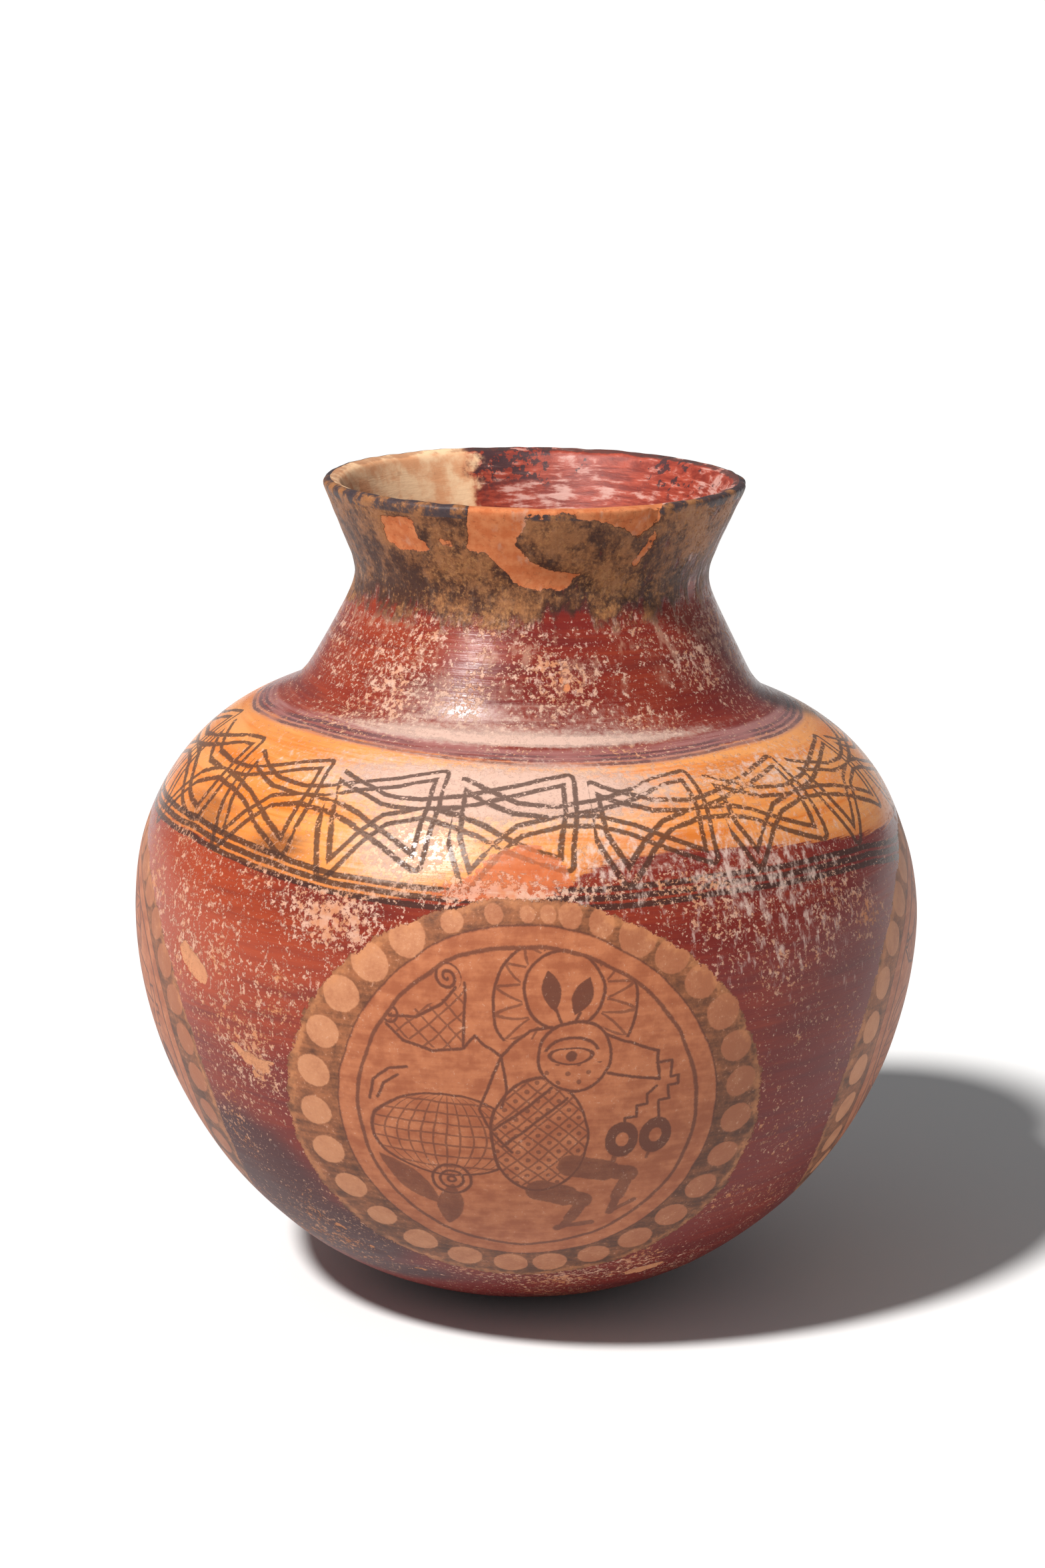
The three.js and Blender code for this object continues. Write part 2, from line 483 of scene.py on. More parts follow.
# How the slip and its wear look
crimson = colour(116, 35, 31)
rust = colour(166, 68, 38)
maroon = colour(92, 34, 34)
amber = colour(216, 118, 42)
honey = colour(238, 164, 98)
bright_amber = colour(234, 130, 44)
burnt_edge = colour(186, 96, 44)
smoked_amber = colour(120, 66, 34)
soot_black = colour(66, 38, 42)
line_ink = colour(62, 42, 36)
salmon_dark = colour(170, 70, 40)
salmon_pale = colour(226, 128, 82)
collar_mauve = colour(170, 118, 114)
collar_dark = colour(92, 66, 70)
worn_pink = colour(226, 182, 158)
worn_orange = colour(210, 138, 92)
rubbed_pale = colour(228, 198, 184)
mark_black = colour(50, 42, 42)
pit_brown = colour(58, 32, 28)
haze_and_highlight_pale = colour(236, 212, 196)
deposit_dark = colour(200, 154, 136)
deposit_pale = colour(224, 190, 174)
clay_dark = colour(198, 108, 62)
clay_light = colour(216, 134, 86)
clay_grey = colour(206, 152, 116)

slip_numbers = ("Roughness", "Height", "Loss", "Bare")
slip = GroupWork("burnished_slip", {}, {"Colour": "Color", **dict.fromkeys(slip_numbers, "Float")})
lie_field = slip.kept("lie")
place_field = slip.place()
flecks_and_highlight_field, dust_and_highlight_field, soot_field = slip.parts(slip.kept("wear_and_painted_light"))
crust_field, bare_field, rust_and_side_light_field = slip.parts(slip.kept("coat"))
band_field, belt_field, collar_field = slip.parts(slip.kept("levels"))

clouds = slip.waves(place_field, 0.024, 3)
streaks = slip.waves(lie_field, (0.035, 0.035, 0.75), 4, 0.6)
washes = slip.waves(lie_field, (0.012, 0.012, 0.16), 3, 0.55)
flecks = slip.waves(lie_field, (0.44, 0.44, 0.4), 6, 0.72)
clusters = slip.waves(place_field, 0.045, 3)
ragged = slip.waves(place_field, 0.3, 5, 0.6)
specks = slip.waves(place_field, 0.85, 3, 0.6)

# Crimson to rust orange; through the rust tint this is painted lighter on the lit left and darker on the
# shaded right and low down
tint = slip.step(rust_and_side_light_field + clouds.by(0.9) + streaks.by(0.9), 0.0, 1.0)
red = slip.mix(tint, crimson, rust)
red = slip.mix(slip.step(washes, 0.48, 0.7) * 0.5, red, maroon)
yellow_tint = slip.step(washes + streaks.by(0.5) + clouds.by(0.6), 0.2, 0.7)
yellow = slip.mix(yellow_tint, amber, honey)
# The belt's brighter amber on the lit left is partly painted light
yellow = slip.mix(rust_and_side_light_field * 0.5, yellow, bright_amber)
yellow = slip.mix(slip.step(band_field + streaks.by(6), 9, -1) * 0.6, yellow, burnt_edge)
smoked = slip.step(soot_field + streaks.by(0.8), 0.15, 0.8) * 0.8
yellow = slip.mix(smoked, yellow, smoked_amber)
in_belt = slip.step(band_field + streaks.by(9) + ragged.by(2), -0.8, 0.8)
in_belt = in_belt * slip.step(collar_field + ragged.by(4), 2.4, 0.8)
ground = slip.mix(in_belt, red, yellow)

soot = slip.step(soot_field + clouds.by(0.9) + streaks.by(0.4), 0.35, 0.9) * (1.0 - in_belt)
ground = slip.mix(soot * 0.86, ground, soot_black)


def lines(work, height, gap, thick, count, roughen):
    """Ink of count lines around the jar, gap apart, the lowest of them at height 0."""
    off = work.calc("PINGPONG", height, gap / 2) + roughen
    bottom, top = -gap / 2, gap * (count - 0.5)
    among = work.step(height, bottom, bottom + 0.1) * work.step(height, top, top - 0.1)
    return work.step(off, thick / 2 + 0.2, thick / 2 - 0.2) * among


line_count = 3
shake = clouds.by(2.2)
belt_ink = lines(slip, belt_field + shake, 2.8, 1.9, line_count, flecks.by(1.3))
ground = slip.mix(belt_ink * 0.88, ground, line_ink)
salmon_field, mark_field, rubbed_field = slip.parts(slip.kept("stains"))
stained = slip.step(salmon_field + ragged.by(9) + streaks.by(6), -0.3, 0.5) * 0.85
ground = slip.mix(stained, ground, slip.mix(ragged, salmon_dark, salmon_pale))
collar_ink = lines(slip, collar_field + shake, 2.5, 1.4, line_count, flecks.by(1.6))
collar_wash = slip.step(collar_field, -2.5, 0) * slip.step(collar_field, 9.5, 7.5)
washed = slip.step(washes + streaks.by(1.2), 0.15, 0.6) * collar_wash * 0.8
ground = slip.mix(washed, ground, collar_mauve)
ground = slip.mix(collar_ink * slip.step(clusters, 0.3, 0.6) * 0.8, ground, collar_dark)

thinned = clusters.by(0.32) + flecks_and_highlight_field.by(0.28)
loss = slip.step(flecks + thinned, 0.585, 0.635)
loss = slip.most([loss, slip.step(specks + thinned * 0.6, 0.61, 0.66) * 0.9])
pale = slip.mix(slip.step(clusters + (ragged - 0.5), 0.35, 0.8), worn_pink, worn_orange)
ground = slip.mix(loss * (1.0 - in_belt * 0.4) * 0.78, ground, pale)
smears = slip.waves(lie_field, (0.4, 0.4, 0.16), 5, 0.65)
rubbed_away = slip.step(rubbed_field * 0.2 + smears, 0.62, 0.84) * 0.75
ground = slip.mix(rubbed_away, ground, rubbed_pale)
marked = slip.step(mark_field + ragged.by(1.4), -0.2, 0.2) * 0.85
ground = slip.mix(marked, ground, mark_black)
pits = slip.step(specks - thinned * 0.3, 0.29, 0.24)
ground = slip.mix(pits * 0.6, ground, pit_brown)

# The pale veil and the deposit colour: settled deposit, and a painted highlight around the lamp's highlight
# on the belt and on the lit left of the neck
veil_and_painted_highlight = slip.step(dust_and_highlight_field + flecks.by(0.8) + streaks.by(0.4), 0.24, 0.86)
ground = slip.mix(veil_and_painted_highlight * 0.72, ground, haze_and_highlight_pale)
dusty_and_highlight = slip.step(dust_and_highlight_field + streaks.by(0.25) + flecks.by(1.5), 0.52, 0.78)
ground = slip.mix(dusty_and_highlight * 0.7, ground, slip.mix(washes, deposit_dark, deposit_pale))

bare_mask = slip.step(bare_field + ragged.by(4.2), -0.2, 0.2)
clay = slip.mix(slip.step(ragged, 0.35, 0.7), clay_dark, clay_light)
low_down = slip.step(slip.parts(lie_field)[2], 320, 300)
clay = slip.mix(low_down * 0.6, clay, clay_grey)
ground = slip.mix(bare_mask, ground, clay)

shoulder_roughness = 0.25  # rubbed the most; the belly's underside is duller
crumb_height = 0.22
underside = slip.step(slip.parts(lie_field)[2], 225, 150)
gloss = shoulder_roughness + underside * 0.26 + streaks.by(0.22) + veil_and_painted_highlight * 0.06
gloss = gloss + slip.most([slip.most([loss * 0.3, dusty_and_highlight * 0.42]), bare_mask * 0.42])
height = streaks.by(0.06) - loss * 0.08 - bare_mask * flake_depth
height = height + dusty_and_highlight * (flecks * crumb_height) + ragged.by(0.05)
loss = slip.most([loss, stained * 0.8])
slip.finish(Colour=ground, Roughness=gloss, Height=height, Loss=loss, Bare=bare_mask)


clay_shine = 0.3  # rubbed clay mirrors less than glass, whose value is 0.5


class MaterialWork(Brushwork):
    """Brushwork on a material of the jar."""

    def __init__(self, name):
        self.material = bpy.data.materials.new(name)
        self.material.use_nodes = True
        super().__init__(self.material.node_tree)

    def finish(self, base, roughness, height):
        """Puts the fields on the clay's own shader, and returns the material's number on the jar."""
        shader = self.tree.nodes["Principled BSDF"]
        shader.inputs["Specular IOR Level"].default_value = clay_shine
        bump = self.field("Bump", {"Strength": 1.0, "Distance": MM, "Height": height})
        self.tree.links.new(base.socket, shader.inputs["Base Color"])
        self.tree.links.new(roughness.socket, shader.inputs["Roughness"])
        self.tree.links.new(bump.socket, shader.inputs["Normal"])
        jar.data.materials.append(self.material)
        return len(jar.data.materials) - 1


body = MaterialWork("red_slip")
body_slip = use_group(body, slip)
body_slot = body.finish(body_slip["Colour"], body_slip["Roughness"], body_slip["Height"])

face_lie = np.array([lie[list(face.vertices)].mean(axis=0) for face in jar.data.polygons])
face_place = np.array([place[list(face.vertices)].mean(axis=0) for face in jar.data.polygons])
face_slots = np.full(len(jar.data.polygons), body_slot)

# The frieze
# Waisted banners with a fork at one end, drawn with a two-haired brush in dark brown on the yellow belt.
# Each overlaps the next by half, all the way around, and the lines are worn where hands held the jar.
banner_count = 16
banner_step = 360 / banner_count  # degrees around from one banner to the next
first_banner = -34.5
ink_spacing = 1.9  # from the middle of a double line to the middle of each of its lines
ink_width = 1.9
degree_length = 1.95  # millimetres around the shoulder
banner_length = banner_step * degree_length
sideways_drift = 7  # how far a hand-drawn line strays
upwards_drift = 8
frieze_ink = colour(74, 48, 38)
banner_corners = [
    (0, 287), (4, 283), (10, 278.5), (16.5, 277.5), (23, 279.5), (30, 283.5), (36, 288), (41, 290.5),
    (41.5, 277), (40.5, 258.5), (34, 264.5), (28, 270.5), (23.5, 273.5), (17.5, 274.7), (11.5, 271),
    (8, 264), (4, 253), (1.2, 268),
]


def stroke(work, at, start, end):
    """Distance from a straight brush stroke, in the units of at."""
    run = Vector((*end, 0)) - Vector((*start, 0))
    off_start = work.vector("SUBTRACT", at, (*start, 0))
    share = work.vector("DOT_PRODUCT", off_start, tuple(run / run.length_squared))
    share = work.field("Clamp", {"Value": share})
    nearest = work.field("VectorMath", {0: tuple(run), "Scale": share}, operation="SCALE")
    return work.vector("DISTANCE", off_start, nearest)


def outline(work, at, corners, closed=True):
    """Distance from a line through the corners."""
    ends = corners[1:] + corners[:1] if closed else corners[1:]
    return work.least(stroke(work, at, start, end) for start, end in zip(corners, ends))


banner = GroupWork("frieze_banner", {"At": "Vector"}, {"Off": "Float"})
corners = [(turn * degree_length, level) for turn, level in banner_corners]
banner.finish(Off=outline(banner, banner.given["At"], corners))

frieze = MaterialWork("yellow_belt")
belt_slip = use_group(frieze, slip)
across, ahead, level = frieze.parts(frieze.kept("lie"))
spot = frieze.place()
turn = frieze.calc("ARCTAN2", across, 0.0 - ahead) * (180 / math.pi)
drift_x, drift_y = frieze.drift(spot, 0.026, 1.5)
banners_passed = (turn - first_banner) * (1 / banner_step) + banner_count
past_banner = frieze.calc("FRACT", banners_passed) * banner_length + drift_x * sideways_drift
level = level + drift_y * upwards_drift
ink_off = []
for banners_back in (0, 1):
    at = frieze.joined(past_banner + banners_back * banner_length, level, 0.0)
    ink_off.append(use_group(frieze, banner, At=at)["Off"])
off = frieze.least([abs(ink - ink_spacing) for ink in ink_off])
frays = frieze.waves(spot, 0.8, 3, 0.6)
worn = frieze.waves(spot, 0.09, 4, 0.65)
frayed = off + frays.by(0.9) + frieze.step(worn, 0.55, 0.78) * 0.8
ink = frieze.step(frayed, ink_width / 2 + 0.2, ink_width / 2 - 0.3)
ink = ink * (1.0 - belt_slip["Bare"]) * (1.0 - belt_slip["Loss"] * 0.9) * 0.86
belt_colour = frieze.mix(ink, belt_slip["Colour"], frieze_ink)
belt_slot = frieze.finish(belt_colour, belt_slip["Roughness"], belt_slip["Height"])
shoulder_low = 240
shoulder_high = 306
face_slots[(face_lie[:, 2] > shoulder_low) & (face_lie[:, 2] < shoulder_high)] = belt_slot

# The roundels
# Four painted discs, one on each side: a ring of beads around a plump long-nosed beast with a fan crest,
# a netted wing and a netted tail, drawn with a fine brush in brown on tan.
roundel_along = 176.6
slope_reach = 8
disc_radius = float(np.interp(roundel_along, ring_levels, ring_radii))
disc_level = float(np.interp(roundel_along, ring_levels, ring_heights))
tangent = [
    np.interp(roundel_along + slope_reach, ring_levels, values)
    - np.interp(roundel_along - slope_reach, ring_levels, values)
    for values in (ring_radii, ring_heights)
]
disc_up = Vector((0, -tangent[0], tangent[1])).normalized()
border_middle = (-1.0, -4.6)
border_size = (79.3, 75.0)
ring_size = (61.3, 63.2)
disc_size = (54.7, 57.0)
pen_drift = 2.6  # how far a hand-drawn line strays
bead_count = 31
bead_places = [  # share of the way around from the bottom, and share of the beads passed by then
    (0, 0.0045), (0.371, 0.339), (0.476, 0.4355), (0.502, 0.4677), (0.536, 0.532), (0.591, 0.597), (1, 1),
]
bead_ring_radius = 70.4
bead_ring_dip = 4.0  # the ring is this much flatter at the top
bead_least = 9.4  # radius where the share below is 1
bead_range = 1.2
bead_sizes = [  # share of the way around, and share of the radius
    (0, 0.57), (0.25, 0.56), (0.371, 0.62), (0.414, 0.56), (0.447, 0.37), (0.476, 0.3), (0.502, 0.26),
    (0.518, 0.26), (0.536, 0.36), (0.559, 0.45), (0.591, 0.59), (0.75, 0.56), (1, 0.57),
]


def curve(work, value, points):
    """A smooth curve through points, whose two numbers both go from 0 to 1."""
    bent = work.node("FloatCurve", {1: value})
    line = bent.mapping.curves[0]
    line.points[0].location = points[0]
    line.points[-1].location = points[-1]
    for point in points[1:-1]:
        line.points.new(*point)
    bent.mapping.update()
    return Field(work, bent.outputs[0])


def oval(work, at, middle, size):
    """Distance out from the edge of an upright oval; less than 0 inside."""
    mean = (size[0] + size[1]) / 2
    shares = work.vector("SUBTRACT", at, (*middle, 0)) * (1 / size[0], 1 / size[1], 0)
    return (work.vector("LENGTH", shares) - 1.0) * mean


def leaf(work, at, middle, half_length, half_width, lean):
    """Distance out from a pointed leaf whose tip leans over by lean degrees to the right."""
    turn = math.radians(lean)
    off = work.vector("SUBTRACT", at, (*middle, 0))
    ahead = work.vector("DOT_PRODUCT", off, (math.sin(turn), math.cos(turn), 0))
    aside = work.vector("DOT_PRODUCT", off, (math.cos(turn), -math.sin(turn), 0))
    ahead = ahead * (1 / half_length)
    return abs(aside) - half_width + ahead * ahead * half_width


def curl(work, at, middle, reach, pitch):
    """Distance from a spiral line around middle, as far out as reach."""
    off = work.vector("SUBTRACT", at, (*middle, 0))
    east, north, _ = work.parts(off)
    far = work.vector("LENGTH", off)
    wound = far + work.calc("ARCTAN2", north, east) * (pitch / (2 * math.pi))
    return work.most([work.calc("PINGPONG", wound, pitch / 2), far - reach])


def net(work, one, other, gap):
    """Distance from the threads of a net."""
    return work.least(work.calc("PINGPONG", way, gap / 2) for way in (one, other))


def inside_all(work, *edges):
    """1 where all of the distances are less than 0."""
    return work.step(work.most(edges), 0.2, -0.2)


disc = MaterialWork("roundel")
across, ahead, _ = disc.parts(disc.kept("lie"))
quarter = disc.calc("ROUND", disc.calc("ARCTAN2", across, 0.0 - ahead) * (2 / math.pi))
folded = disc.field(
    "VectorRotate", {"Vector": disc.kept("lie"), "Angle": quarter * (-math.pi / 2)}, rotation_type="Z_AXIS",
)
across, ahead, _ = disc.parts(folded)
spot = disc.place()
level = disc.parts(spot)[2]
off_middle = disc.joined(across, ahead + disc_radius, level - disc_level)
upwards = disc.vector("DOT_PRODUCT", off_middle, tuple(disc_up))
far = disc.vector("LENGTH", off_middle)
flat = disc.vector("NORMALIZE", disc.joined(across, upwards, 0.0))
flat = disc.field("VectorMath", {0: flat, "Scale": far}, operation="SCALE")
drift_x, drift_y = disc.drift(spot, 0.06)
flat = disc.vector("ADD", flat, disc.joined(drift_x * pen_drift, drift_y * pen_drift, 0.0))
east, north, _ = disc.parts(flat)

# The beads
way_round = disc.calc("ARCTAN2", east, north) * (0.5 / math.pi) + 0.5
passed = disc.calc("FLOOR", curve(disc, way_round, bead_places) * bead_count) + 0.5
bead_way = curve(disc, passed * (1 / bead_count), [(count, way) for way, count in bead_places])
bead_turn = (bead_way - 0.5) * (2 * math.pi)
bead_up = disc.calc("COSINE", bead_turn)
bead_out = bead_ring_radius - disc.calc("POWER", disc.most([bead_up, 0.0]), 4.0) * bead_ring_dip
bead_middle = disc.joined(disc.calc("SINE", bead_turn) * bead_out, bead_up * bead_out, 0.0)
uneven = disc.field("TexWhiteNoise", {"W": passed}, noise_dimensions="1D")
bead_radius = curve(disc, bead_way, bead_sizes) * (uneven * bead_range + bead_least)
off_bead = disc.vector("DISTANCE", flat, bead_middle) - bead_radius

# The beast
strokes = [
    [(24.5, 28), (33, 25), (42, 20.5), (42.5, 10.5), (33, 12.5), (25.5, 15)],
    [(-8.5, 21.5), (-4.5, 26.5), (1.5, 30.5), (8, 31.5)],
    [(-8.5, 21.5), (-13, 25), (-16, 28), (-19.5, 24), (-30, 22.3), (-39, 24.5), (-45, 29)],
    [(-19.6, 24), (-19.6, 45)],
    [(-44, 32), (-35, 33), (-27.5, 38), (-22.5, 43.5)],
    [
        (42, 16.5), (46.5, 16.5), (46.5, 10.5), (48.8, 10.5), (48.8, 7.5), (45.5, 7.5), (45.5, 2.5),
        (42, 2.5), (42, -4),
    ],
    [(41.5, 8), (38, 5.5), (38, 2), (34.5, 2), (34.5, -2), (30.7, -2), (30.7, -4.5)],
    [(-10.5, -5), (7.5, 11)],
    [(-8, -11), (12.5, 7.5)],
    [(-8.5, 21.5), (-12, 12), (-14.5, 3), (-11, -6), (-5, -13)],
    [(-8.5, 21.5), (-6, 10), (-7.5, 4)],
    [(-50.5, 2), (-49.5, 9), (-44, 14), (-38, 15.5)],
    [(-48, 3), (-46, 8), (-41, 12)],
    [(9.3, 37), (11, 33)],
    [(16.8, 35.5), (15.2, 33)],
]
limbs = [  # thick strokes: from, to, half width
    ((14, -19), (25, -22.5), 4.6), ((25, -22.5), (32.5, -25), 3.4), ((32, -26), (29.5, -35), 2.3),
    ((29.5, -35), (27, -42.5), 1.5), ((27, -42.5), (35, -38.5), 1.0), ((4, -29.5), (12, -32.5), 4.4),
    ((12, -32.5), (18, -35), 3.2), ((17.5, -36), (14.5, -43), 2.4), ((14.5, -43), (13, -46.5), 1.8),
    ((10, -48.5), (13.5, -46.8), 1.4), ((13.5, -47), (21, -46.5), 1.1), ((28.6, -14.5), (27.4, -18.5), 0.9),
    ((40, -14.7), (38.6, -19), 0.6),
]
ears = [  # middle, half length, half width, lean in degrees
    ((8, 42.8), 6.4, 3.2, -8), ((17.8, 41), 6.4, 3.2, 24),
]
hind_legs = [((-37.5, -29), 14, 4.2, -48), ((-24.5, -38), 10, 4.4, 4)]
drops = [(30, -10.3), (41.2, -10.6)]
eye = (13.8, 22)
pen = 0.52  # half the width of a line
head = oval(disc, flat, (15, 21.5), (11.4, 11.6))
fan_middle = (12.3, 39)
fan = oval(disc, flat, fan_middle, (23, 22.5))
shield = oval(disc, flat, (12, 43), (12.6, 12.6))
chest = oval(disc, flat, (4, -7.5), (15.2, 22))
tail_middle = (-25.5, -8.5)
tail_size = (25, 15.6)
tail = disc.most([oval(disc, flat, tail_middle, tail_size), 0.4 - chest])
above_head = disc.most([27.5 - north, 0.6 - head])


def pen_lines():
    """Distances from the beast's outlines, one by one."""
    for line in strokes:
        yield outline(disc, flat, line, closed=False)
    yield abs(head)
    for crest in (fan, shield):
        yield disc.most([above_head, abs(crest)])
    yield disc.most([0.4 - head, abs(chest)])
    yield abs(tail)
    yield abs(oval(disc, flat, eye, (6.6, 2.6)))
    yield disc.most([23.8 - north, abs(oval(disc, flat, (14, 20.5), (8.8, 7.6)))])
    ring_mark = disc.vector("DISTANCE", flat, (-24.2, -26, 0))
    yield disc.most([disc.calc("PINGPONG", ring_mark - 3.8, 1.3), ring_mark - 7.2])
    yield curl(disc, flat, (-25, 46.3), 4.0, 2.4)
    yield curl(disc, flat, (-43.5, 33), 3.2, 2.4)
    for middle, half_length, half_width, lean in ears:
        yield leaf(disc, flat, middle, half_length, half_width, lean) + pen
    yield disc.vector("DISTANCE", flat, (*eye, 0)) - 1.2
    for middle in drops:
        yield abs(oval(disc, flat, middle, (3.8, 4.8))) - 1.4


def filled_shapes():
    """Distances out from the beast's dark parts, one by one."""
    for start, end, thick in limbs:
        yield stroke(disc, flat, start, end) - thick
    for middle, half_length, half_width, lean in hind_legs:
        yield leaf(disc, flat, middle, half_length, half_width, lean)


off_pen = disc.least(pen_lines()) - pen
off_fill = disc.least(filled_shapes())

# The fine threads inside its outlines
away = 9  # far enough from a thread to stay bare
diagonal = (east + north) * math.sqrt(0.5)
counter = (east - north) * math.sqrt(0.5)


def threads():
    """Distances from the fine lines, one by one."""
    wing = inside_all(disc, north - 54.0 - east * 0.52, 23.2 - north, 6.2 - north - east * 0.5, east + 19.8)
    yield net(disc, diagonal, counter, 4.4) + (1.0 - wing) * away
    tail_north = (north - tail_middle[1]) * (1 / tail_size[1])
    tail_width = disc.calc("SQRT", disc.most([1.02 - tail_north * tail_north, 0.02]))
    tail_east = disc.calc("DIVIDE", east - tail_middle[0], tail_width)
    yield net(disc, north, tail_east, 4.1) + (1.0 - inside_all(disc, tail)) * away
    fan_east, fan_north, _ = disc.parts(disc.vector("SUBTRACT", flat, (*fan_middle, 0)))
    fan_teeth = disc.calc("PINGPONG", disc.calc("ARCTAN2", fan_east, fan_north) * 5.2, 1.0)
    fan_teeth = abs(fan_teeth - disc.calc("DIVIDE", shield, shield - fan)) * 2.6
    yield fan_teeth + (1.0 - inside_all(disc, above_head, 1.0 - shield, fan)) * away
    yield net(disc, diagonal, counter, 4.6) + (1.0 - inside_all(disc, chest, 0.5 - head)) * away
    dots_at = disc.joined(
        2.3 - disc.calc("PINGPONG", diagonal, 2.3), 2.3 - disc.calc("PINGPONG", counter, 2.3), 0.0
    )
    dots = disc.vector("LENGTH", dots_at) - 0.45
    on_chest = inside_all(disc, chest, 0.5 - head)
    on_skin = disc.most([on_chest, inside_all(disc, head, north - 19.5)])
    yield dots + (1.0 - on_skin) * away


off_fine = disc.least(threads())

tan_dark = colour(162, 90, 57)
tan_light = colour(190, 116, 77)
brown_dark = colour(88, 52, 36)
brown_light = colour(170, 104, 66)
bead_dark = colour(168, 101, 68)
bead_light = colour(202, 138, 98)
beast_ink = colour(92, 50, 38)
worn_tan = colour(224, 178, 152)
pitted_tan = colour(100, 54, 40)
rim_colour = colour(206, 136, 88)

frays = disc.waves(spot, 1.1, 3, 0.6) - 0.5
soft = disc.waves(spot, 0.16, 3, 0.6)
specks = disc.waves(spot, 0.9, 4, 0.75)
inner = oval(disc, flat, (0, 0), disc_size)
ring = oval(disc, flat, (0, 0), ring_size)
border = oval(disc, flat, border_middle, border_size)
in_disc = disc.step(inner, 0.3, -0.3)
ink = disc.step(off_pen + frays * 0.7, 0.28, -0.28) * (0.72 + soft * 0.25)
wash = disc.step(off_fill + frays * 0.9, 0.3, -0.3) * (0.42 + specks * 0.45)
ink = disc.most([ink, wash])
fine_ink = disc.step(off_fine + frays * 0.5, 0.5, 0.2) * 0.62
off_rings = disc.least([abs(inner) - 0.65, abs(ring) - 0.3])
rings_ink = disc.step(off_rings + frays * 0.8, 0.3, -0.3)
ink = disc.most([disc.most([ink, fine_ink]) * in_disc, rings_ink * 0.75])
brushed = disc.waves(disc.kept("lie"), (0.05, 0.05, 0.5), 3, 0.6)
tan = disc.mix(disc.step(soft + brushed.by(0.5), 0.3, 0.7), tan_dark, tan_light)
# Painted light: the ring's brown ground turns lighter towards the top and the left, where the lamp falls,
# on top of its own speckled tone
brown_tone_and_top_light = specks * 0.4 + soft * 0.7 + brushed.by(0.5) + north * 0.001 - east * 0.0006
brown = disc.mix(disc.step(brown_tone_and_top_light, 0.3, 0.85), brown_dark, brown_light)
# Painted light: the beads turn lighter towards the lit left
bead_tone_and_side_light = specks * 0.4 + soft * 0.6 - east * 0.0022
bead = disc.mix(disc.step(bead_tone_and_side_light, 0.3, 0.75), bead_dark, bead_light)
on_ring = disc.mix(disc.step(off_bead + frays * 0.8, 0.3, -0.3), brown, bead)
painted = disc.mix(disc.step(ring, -0.2, 0.2), tan, on_ring)
painted = disc.mix(ink, painted, beast_ink)
painted = disc.mix(disc.step(specks + soft.by(0.3), 0.61, 0.71) * 0.45, painted, worn_tan)
painted = disc.mix(disc.step(specks, 0.3, 0.24) * 0.5, painted, pitted_tan)
off_border = border + soft.by(4.4) + frays * 3.4
rim_worn = disc.step(abs(off_border + 1.0), 2.4, 0.2) * disc.step(soft, 0.3, 0.7)
painted = disc.mix(rim_worn * 0.6, painted, rim_colour)
in_roundel = disc.step(off_border, 0.25, -0.25)
disc_slip = use_group(disc, slip)
roundel_colour = disc.mix(in_roundel, disc_slip["Colour"], painted)
roundel_gloss = disc_slip["Roughness"] * (1.0 - in_roundel) + in_roundel * (0.5 + specks.by(0.2))
roundel_height = in_roundel * (specks.by(0.12) - 0.12)
roundel_slot = disc.finish(roundel_colour, roundel_gloss, roundel_height)

border_margin = 0.035  # faces this share beyond the border take the roundel's material too
for quarter_turn in range(4):
    turn = math.radians(90 * quarter_turn)
    right = np.array([math.cos(turn), math.sin(turn), 0])
    front = np.array([math.sin(turn), -math.cos(turn), 0])
    middle = front * disc_radius + np.array([0, 0, disc_level])
    rising = front * -disc_up.y + np.array([0, 0, disc_up.z])
    from_middle = np.column_stack([face_lie[:, :2], face_place[:, 2]]) - middle
    sideways, upwards_by = from_middle @ right, from_middle @ rising
    scale = np.linalg.norm(from_middle, axis=1) / np.maximum(np.hypot(sideways, upwards_by), 1e-6)
    shares = np.hypot(
        (sideways * scale - border_middle[0]) / border_size[0],
        (upwards_by * scale - border_middle[1]) / border_size[1],
    )
    face_slots[(shares < 1 + border_margin) & (face_lie[:, 2] < lip_along)] = roundel_slot

# The neck and the lip
# Red slip like the body's, under a hard brown and ochre crust that has grown on the flare and flaked off
# in front, down to the orange clay. A dark painted line along the lip is mostly worn away.
neck_low = 326
lip_paint_low = 4.5  # the dark paint begins this far below the middle of the lip
crust_dark = colour(60, 34, 20)
crust_light = colour(158, 104, 62)
crust_gold = colour(184, 132, 80)
drip_dark = colour(176, 120, 88)
drip_pale = colour(228, 186, 164)
scratch_pale = colour(226, 184, 166)
lip_black = colour(62, 52, 58)

neck = MaterialWork("neck_crust")
neck_slip = use_group(neck, slip)
spot = neck.place()
neck_lie = neck.kept("lie")
crust_field = neck.parts(neck.kept("coat"))[0]
neck_along = neck.parts(neck_lie)[2]
drips = neck.waves(neck_lie, (0.22, 0.22, 0.035), 4, 0.6)
mottle = neck.waves(spot, 0.14, 6, 0.68)
patches = neck.waves(spot, 0.045, 3)
gold = neck.waves(spot, (0.9, 0.9, 0.7), 4, 0.7)
crusted = neck.step(crust_field + drips.by(1.3) + mottle.by(0.9) + patches.by(0.5), 0.42, 0.78)
crust_tone = mottle + gold.by(0.4) + patches.by(0.6) + drips.by(0.35)
crust_tone = crust_tone - neck.step(neck_along, 376, 358) * 0.1
olive = neck.mix(neck.step(crust_tone, 0.34, 0.66), crust_dark, crust_light)
olive = neck.mix(neck.step(gold + patches.by(0.4), 0.56, 0.68) * 0.5, olive, crust_gold)
drip_stain = neck.step(drips + mottle.by(0.5), 0.52, 0.7) * neck.step(neck_along, 314, 350)
